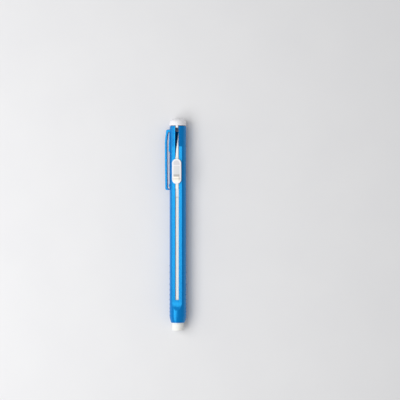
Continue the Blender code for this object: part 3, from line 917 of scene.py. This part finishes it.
def jaws_and_core():
    outline = soft_outline([
        (0.0, CUP_Y, 0.0),
        (JAW_BORE, CUP_Y, JAW_RIM),
        (JAW_BORE, carriage_low.y, JAW_RIM),
        (CORE_RADIUS, carriage_low.y, JAW_RIM),
        (CORE_RADIUS, CUP_Y + CORE_LENGTH, 2 * JAW_RIM),
        (0.0, CUP_Y + CORE_LENGTH, 0.0),
    ])
    bm = spin_outline(outline, CARRIAGE_SIDES)
    reach = CORE_RADIUS + OVERCUT
    for turn in (math.pi / 4, -math.pi / 4):
        bar = bar_outline(JAW_SLIT / 2, carriage_low.y - OVERCUT, CUP_Y - JAW_SLIT_END)
        slit = extrude_outline(bar, -reach, reach)
        bmesh.ops.rotate(slit, verts=slit.verts, cent=(0, 0, 0), matrix=Matrix.Rotation(turn, 3, "Y"))
        bm = combine(bm, slit, "DIFFERENCE")
    return bm


carriage = jaws_and_core()
print("jaws and core:", len(carriage.faces), "faces")

# %% [markdown]
# ## Carriage: the neck
#
# A thin web rises from the core through the slot and carries the button. It has the same width all the
# way, so it is a side outline extruded across the slot, and its two long upper edges are rounded.

# %% Raise the neck
NECK_HALF = 0.9 * MM
NECK_FRONT_Y = CUP_Y - 3.3 * MM
NECK_REAR_Y = button_high.y + 1.6 * MM
NECK_SHELF = CORE_RADIUS - 0.36 * MM
NECK_ROUND = 0.2 * MM
FIN_BOTTOM = -1.5 * MM


def neck():
    solid_y = CUP_Y + JAW_SLIT_END
    outline = soft_outline([
        (NECK_FRONT_Y, NECK_SHELF, 0.0),
        (solid_y, NECK_SHELF, 0.0),
        (solid_y, FIN_BOTTOM, 0.0),
        (NECK_REAR_Y, FIN_BOTTOM, 0.0),
        (NECK_REAR_Y, TRACK_HEIGHT, 0.0),
        (NECK_FRONT_Y, TRACK_HEIGHT, NECK_ROUND),
    ])
    bm = extrude_outline(outline, -NECK_HALF, NECK_HALF, "X")
    long_edges = [e for e in rim_edges(bm, 2, TRACK_HEIGHT)
                  if abs(e.verts[0].co.x - e.verts[1].co.x) < NEAR]
    round_edges(bm, long_edges, NECK_ROUND, segments=3)
    return bm


carriage = combine(carriage, neck(), "UNION")
print("with its neck:", len(carriage.faces), "faces")

# %% [markdown]
# ## Carriage: the tail and the peg
#
# Behind the button the neck runs on as a tail, which gets narrower and lower towards the cap and keeps
# to the right side of the slot. Its section changes all along, so an extrusion can't make it. Instead
# six cross sections are drawn and bridged to each other, and the two ends are filled. The button snaps
# onto a round-ended peg on the neck. The peg starts a little below the neck's top, so that the Boolean
# joins two solids that overlap and not two that only touch.

# %% Loft the tail and add the peg
PEG_HALF = 0.6 * MM
PEG_LENGTH = 5.0 * MM
PEG_ROOT = 0.4 * MM


def tail_sections():
    """Cross sections along the tail: y, left side, right side and drop below the track."""
    return (
        (NECK_REAR_Y - 0.3 * MM, -NECK_HALF, NECK_HALF, 0.0),
        (NECK_REAR_Y, -NECK_HALF, NECK_HALF, 0.0),
        (NECK_REAR_Y + 4.1 * MM, -0.6 * MM, 0.9 * MM, 0.1 * MM),
        (NECK_REAR_Y + 7.6 * MM, -0.1 * MM, 0.85 * MM, 0.2 * MM),
        (NECK_REAR_Y + 10.0 * MM, 0.05 * MM, 0.8 * MM, 0.9 * MM),
        (carriage_high.y, 0.25 * MM, 0.65 * MM, 3.8 * MM),
    )


def tail():
    bm = bmesh.new()
    loops = []
    for y, left, right, drop in tail_sections():
        top = TRACK_HEIGHT - drop
        corner = min(NECK_ROUND, 0.4 * (right - left))
        outline = soft_outline([
            (left, FIN_BOTTOM, 0.0), (right, FIN_BOTTOM, 0.0),
            (right, top, corner), (left, top, corner),
        ], steps=3)
        verts = [bm.verts.new((x, y, z)) for x, z in outline]
        loops.append([bm.edges.new(pair) for pair in zip(verts, verts[1:] + verts[:1])])
    for first, second in zip(loops, loops[1:]):
        bmesh.ops.bridge_loops(bm, edges=first + second)
    bmesh.ops.holes_fill(bm, edges=bm.edges, sides=0)
    bmesh.ops.recalc_face_normals(bm, faces=bm.faces)
    return bm


def peg():
    outline = round_ended(PEG_HALF, BUTTON_MIDDLE_Y, BUTTON_MIDDLE_Y + PEG_LENGTH)
    return extrude_outline(outline, TRACK_HEIGHT - PEG_ROOT, carriage_high.z)


for block in (tail(), peg()):
    carriage = combine(carriage, block, "UNION")
make_piece("carriage_moulding", carriage, carriage_white, "carriage", "slider")

# %% [markdown]
# ## Thumb button: the block
#
# The button is a long round-ended block with a soft rim. It is extruded from its outline. The straight
# sides are divided before the edges are rounded, because the dish that comes next bends along them and
# needs vertices to bend at.

# %% Round the button's block
BUTTON_HALF = button_high.x
BUTTON_LENGTH = button_high.y - button_low.y
BUTTON_EDGE = 0.5 * MM
BUTTON_FOOT_EDGE = 0.12 * MM
SIDE_SPACING = 0.2 * MM


def button_blank():
    outline = round_ended(BUTTON_HALF, button_low.y, button_high.y)
    bm = extrude_outline(outline, button_low.z, button_high.z)
    straight = BUTTON_LENGTH - 2 * BUTTON_HALF
    long_edges = [e for e in bm.edges if e.calc_length() > 0.9 * straight]
    bmesh.ops.subdivide_edges(bm, edges=long_edges, cuts=round(straight / SIDE_SPACING))
    round_edges(bm, rim_edges(bm, 2, button_high.z), BUTTON_EDGE, segments=5)
    round_edges(bm, rim_edges(bm, 2, button_low.z), BUTTON_FOOT_EDGE, segments=2)
    return bm


button = button_blank()
print("button's block:", len(button.faces), "faces")

# %% [markdown]
# ## Thumb button: the dish
#
# The top is dished: a flat pad at the rear, then a floor that falls gently to a valley, and a ramp at
# the front that the thumb pushes against. Cutting the dish with a Boolean would give hard inner
# corners. Instead the top face is inset again and again, which makes rings that follow the outline, and
# each vertex of the rings is lowered by a smooth formula.

# %% Sink the dish
BUTTON_RIM = 0.75 * MM
BUTTON_WALL = 0.45 * MM
PAD_LENGTH = 4.1 * MM
PAD_DEPTH = 0.6 * MM
PAD_STEP = 0.25 * MM
FLOOR_DEPTH = 0.45 * MM
FLOOR_END_DEPTH = 0.65 * MM
COVE_LENGTH = 1.3 * MM
VALLEY_DEPTH = 1.0 * MM
VALLEY_BLEND = 0.2 * MM
RAMP_LENGTH = 4.6 * MM
RAMP_END_DEPTH = 0.1 * MM
RING_WIDTH = 0.11 * MM
RING_COUNT = 22


def dish_floor_depth(y):
    """Depth of the dish's floor below the button's top at y."""
    pad_y = button_high.y - PAD_LENGTH
    valley_y = button_low.y + RAMP_LENGTH
    cove_y = valley_y + COVE_LENGTH
    fall = FLOOR_DEPTH + (FLOOR_END_DEPTH - FLOOR_DEPTH) * (pad_y - y) / (pad_y - cove_y)
    fall += (VALLEY_DEPTH - FLOOR_END_DEPTH) * max(0.0, (cove_y - y) / COVE_LENGTH)
    ramp = VALLEY_DEPTH - (VALLEY_DEPTH - RAMP_END_DEPTH) * (valley_y - y) / (RAMP_LENGTH - BUTTON_RIM)
    near = max(VALLEY_BLEND - abs(fall - ramp), 0.0) / VALLEY_BLEND
    lower = min(fall, ramp) - near * near * VALLEY_BLEND / 4
    return lower + (PAD_DEPTH - lower) * ease((y - pad_y) / PAD_STEP)


def distance_from_spine(point):
    """Distance from the line along the button's middle, which ends at the centres of its round ends."""
    y = max(button_low.y + BUTTON_HALF, min(button_high.y - BUTTON_HALF, point.y))
    return Vector((point.x, point.y - y)).length


def dish(bm):
    top = max(bm.faces, key=lambda face: face.calc_center_median().z)
    for _ in range(RING_COUNT):
        bmesh.ops.inset_region(bm, faces=[top], thickness=RING_WIDTH,
                               use_boundary=True, use_even_offset=True)
    for vert in bm.verts:
        if vert.co.z > button_high.z - MERGE:
            share = (BUTTON_HALF - BUTTON_RIM - distance_from_spine(vert.co)) / BUTTON_WALL
            vert.co.z -= dish_floor_depth(vert.co.y) * ease(share)


dish(button)
print("with its dish:", len(button.faces), "faces")

# %% [markdown]
# ## Thumb button: the socket
#
# The foot gets a socket for the carriage's peg. It has the peg's outline with a small clearance all
# round, and a plain Boolean cut is enough because nobody sees its corners.

# %% Cut the socket
def socket_block():
    low_y, high_y = BUTTON_MIDDLE_Y - HOLD_GAP, BUTTON_MIDDLE_Y + PEG_LENGTH + HOLD_GAP
    outline = round_ended(PEG_HALF + HOLD_GAP, low_y, high_y, steps=5)
    return extrude_outline(outline, button_low.z - OVERCUT, carriage_high.z + SEAT_GAP)


button = combine(button, socket_block(), "DIFFERENCE")
make_piece("thumb_button_moulding", button, button_white, "thumb_button", "slider")

# %% [markdown]
# ## The feel of the dish
#
# The thumb lives in the dish. Its floor has a fine matt grain, and the ramp is polished. Light and shade
# are painted into their colour: the floor and the pad are painted a shade greyer than the rim, the cove
# before the ramp darker still as if shaded, the ramp bright and a little creamy as if lit, with a
# highlight painted where the pad steps, and a painted shade runs along the ramp's right side. Painting
# this would need a picture. The same distance from the button's middle line that shaped the dish can be
# worked out from Object coordinates instead, and it gives a mask that fits the rim exactly.

# %% Mask the dish
DISH_FADE = 0.3 * MM


def dish_mask(tree, axes):
    """1 inside the dish and 0 on the rim and outside."""
    from_middle = calculate(tree, "SUBTRACT", axes.outputs["Y"], BUTTON_MIDDLE_Y)
    spine_half = BUTTON_LENGTH / 2 - BUTTON_HALF
    past_spine = calculate(tree, "SUBTRACT", calculate(tree, "ABSOLUTE", from_middle, 0.0), spine_half)
    past_spine = calculate(tree, "MAXIMUM", past_spine, 0.0)
    offset = add_node(tree, "ShaderNodeCombineXYZ", X=axes.outputs["X"], Y=past_spine)
    distance = add_node(tree, "ShaderNodeVectorMath", {"operation": "LENGTH"},
                        Vector=offset.outputs["Vector"])
    edge = BUTTON_HALF - BUTTON_RIM
    return fade(tree, distance.outputs["Value"], edge - DISH_FADE, edge, 1.0, 0.0)


button_tree = button_white.node_tree
button_place = button_tree.nodes.new("ShaderNodeTexCoord").outputs["Object"]
button_axes = add_node(button_tree, "ShaderNodeSeparateXYZ", Vector=button_place)
inside_dish = dish_mask(button_tree, button_axes)
print("the dish's mask brings the button's material to", len(button_tree.nodes), "nodes")

# %% [markdown]
# ## The painted tones of the dish
#
# A colour ramp holds the painted light and shade for each part of the dish, with stops at distances
# from the button's front end. It is mixed over the plastic's own colour where the mask is 1, and the
# roughness rises from the polished ramp to the matt floor in the same way.

# %% Paint light and shade in the dish
DISH_ROUGHNESS = (0.3, 0.75)
# Painted shade: the ramp's right side is darkened between these distances from the middle line, standing
# in for shade.
PAINTED_SHADE_START, PAINTED_SHADE_END = 1.1 * MM, 1.8 * MM
PAINTED_SHADE_COLOUR = "c9c2b6"
PAD_START = BUTTON_LENGTH - PAD_LENGTH
# Painted light and shade: the ramp is painted bright as if lit, the cove before it dark as if shaded,
# the pad's step gets a painted highlight, and the floor and pad are painted a shade greyer than the rim.
PAINTED_DISH_TONES = (
    (0.0, "fbf7ec"), (RAMP_LENGTH - 0.25 * MM, "fcf8ec"), (RAMP_LENGTH + 0.1 * MM, "b8b6b4"),
    (RAMP_LENGTH + 1.1 * MM, "bebebe"), (RAMP_LENGTH + 1.7 * MM, "dddfe0"),
    (PAD_START - 0.5 * MM, "dfe0e2"), (PAD_START, "f4f3f6"), (PAD_START + 0.5 * MM, "dad9dd"),
    (BUTTON_LENGTH, "dedde1"),
)


def painted_tones_along(tree, along):
    """A colour ramp whose stops stand at PAINTED_DISH_TONES's distances."""
    tones = add_node(tree, "ShaderNodeValToRGB", Fac=along)
    stops = tones.color_ramp.elements
    while len(stops) < len(PAINTED_DISH_TONES):
        stops.new(1.0)
    for stop, (distance, shade) in zip(stops, PAINTED_DISH_TONES):
        stop.position = distance / BUTTON_LENGTH
        stop.color = linear(shade)
    return tones.outputs["Color"]


def tone_dish(tree, axes, inside):
    shader = tree.nodes["Principled BSDF"]
    colour = shader.inputs["Base Color"].links[0].from_socket
    rough = shader.inputs["Roughness"].links[0].from_socket
    x, y = axes.outputs["X"], axes.outputs["Y"]
    valley_y = button_low.y + RAMP_LENGTH
    floor = fade(tree, y, valley_y, valley_y + DISH_FADE)
    on_ramp = calculate(tree, "SUBTRACT", 1.0, floor)
    # painted shade along the ramp's right side
    painted_side_shade = calculate(tree, "MULTIPLY", fade(tree, x, PAINTED_SHADE_START, PAINTED_SHADE_END), on_ramp)
    # colour ramp of painted light and shade along the button
    tones = painted_tones_along(tree, fade(tree, y, button_low.y, button_high.y))
    dish_colour = mix_colour(tree, painted_side_shade, tones, linear(PAINTED_SHADE_COLOUR))
    plug(tree, shader.inputs["Base Color"], mix_colour(tree, inside, colour, dish_colour))
    dish_rough = spread(tree, floor, *DISH_ROUGHNESS)
    change = calculate(tree, "MULTIPLY", calculate(tree, "SUBTRACT", dish_rough, rough), inside)
    plug(tree, shader.inputs["Roughness"], calculate(tree, "ADD", rough, change))


tone_dish(button_tree, button_axes, inside_dish)
print("button material has", len(button_tree.nodes), "nodes")

# %% [markdown]
# ## Eraser stick
#
# The stick is a plain extruded rod of vinyl, cut off square, with an edge that is just broken. At the
# rear the jaws squeeze it, so it gets thinner there. One spun outline makes it, and its character
# comes from the vinyl's grain.

# %% Turn the stick
STICK_SIDES = 96
STICK_EDGE = 0.35 * MM
GRIPPED_RADIUS = JAW_BORE - HOLD_GAP
SHOULDER_Y = carriage_low.y - 0.1 * MM
SHOULDER_LENGTH = 0.2 * MM


def stick_body():
    outline = soft_outline([
        (0.0, stick_low.y, 0.0),
        (STICK_RADIUS, stick_low.y, STICK_EDGE),
        (STICK_RADIUS, SHOULDER_Y - SHOULDER_LENGTH, SHOULDER_LENGTH / 2),
        (GRIPPED_RADIUS, SHOULDER_Y, SHOULDER_LENGTH),
        (GRIPPED_RADIUS, stick_high.y, STICK_EDGE),
        (0.0, stick_high.y, 0.0),
    ])
    return spin_outline(outline, STICK_SIDES)


make_piece("vinyl_stick", stick_body(), eraser_vinyl, "eraser_stick", "eraser")

# %% [markdown]
# ## Floor
#
# The holder lies on a plain pale board. It is one large square face. A little noise in its colour and
# roughness keeps it from looking like a computed white.

# %% Lay the floor
FLOOR_HALF = 3.0
FLOOR_Z = barrel_low.z


def board_material():
    material, tree, shader, place = new_material("pale_board")
    cloud = noise(tree, place, 30.0, detail=4.0)
    plug(tree, shader.inputs["Base Color"], mix_colour(tree, cloud, linear("e9e9ea"), linear("e4e4e6")))
    plug(tree, shader.inputs["Roughness"], spread(tree, cloud, 0.75, 0.9))
    return material


bm = bmesh.new()
bmesh.ops.create_grid(bm, x_segments=1, y_segments=1, size=FLOOR_HALF)
bmesh.ops.translate(bm, verts=bm.verts, vec=(0.0, 0.0, FLOOR_Z))
floor = to_object("floor_board", bm, board_material())
print("floor at z", round(FLOOR_Z / MM, 2), "mm")

# %% [markdown]
# ## Softboxes
#
# Small lamps would put hard dots on glossy plastic. Three softboxes light the holder evenly instead.
# The large key box stands to the left and shapes the tube. A narrow box hangs nearly overhead, and its
# reflection makes the flat track bright. The third stands low on the left towards the cap and lights
# that side of the collar. The right side of the tube stays darker, as in the photograph.

# %% Hang the softboxes
BOX_DISTANCE = 0.6


def softbox(name, angle, width, length, power, shift_y):
    """An area light to the left of the holder, tipped by an angle from straight above."""
    data = bpy.data.lights.new(name, "AREA")
    data.shape = "RECTANGLE"
    data.size = width
    data.size_y = length
    data.energy = power
    box = add_object(name, data)
    away = Vector((-math.sin(angle), 0.0, math.cos(angle))) * BOX_DISTANCE
    box.location = Vector((0.0, (MOUTH_Y + REAR_Y) / 2 + shift_y, 0.0)) + away
    box.rotation_euler = (0.0, -angle, 0.0)
    return box


softboxes = (
    softbox("key_box", math.radians(36.0), width=0.36, length=0.75, power=2.55, shift_y=-0.11),
    softbox("top_box", math.radians(9.0), width=0.105, length=0.25, power=0.34, shift_y=0.03),
    softbox("side_box", math.radians(75.0), width=0.21, length=0.2, power=0.2, shift_y=0.09),
)
print("softboxes:", ", ".join(f"{box.name} {box.data.energy:.2f} W" for box in softboxes))

# %% [markdown]
# ## World
#
# The world is a weak even fill, so that no shadow is black. Seen directly by the camera it is plain
# white instead, which the Light Path node separates from the light that it gives, so that a view from
# the side has a clean background.

# %% Light the world
FILL_STRENGTH = 0.47
FILL_COLOUR = (1.0, 1.0, 1.0, 1.0)
BACKDROP_COLOUR = (0.95, 0.95, 0.95, 1.0)

world = bpy.data.worlds.new("studio")
world.use_nodes = True
bpy.context.scene.world = world
tree = world.node_tree
fill = tree.nodes["Background"]
fill.inputs["Strength"].default_value = FILL_STRENGTH
fill.inputs["Color"].default_value = FILL_COLOUR
backdrop = add_node(tree, "ShaderNodeBackground", Color=BACKDROP_COLOUR, Strength=1.0)
path = tree.nodes.new("ShaderNodeLightPath")
choice = tree.nodes.new("ShaderNodeMixShader")
tree.links.new(path.outputs["Is Camera Ray"], choice.inputs[0])
tree.links.new(fill.outputs[0], choice.inputs[1])
tree.links.new(backdrop.outputs[0], choice.inputs[2])
tree.links.new(choice.outputs[0], tree.nodes["World Output"].inputs["Surface"])
bpy.context.scene.view_settings.view_transform = "Standard"
print("fill of", FILL_STRENGTH)
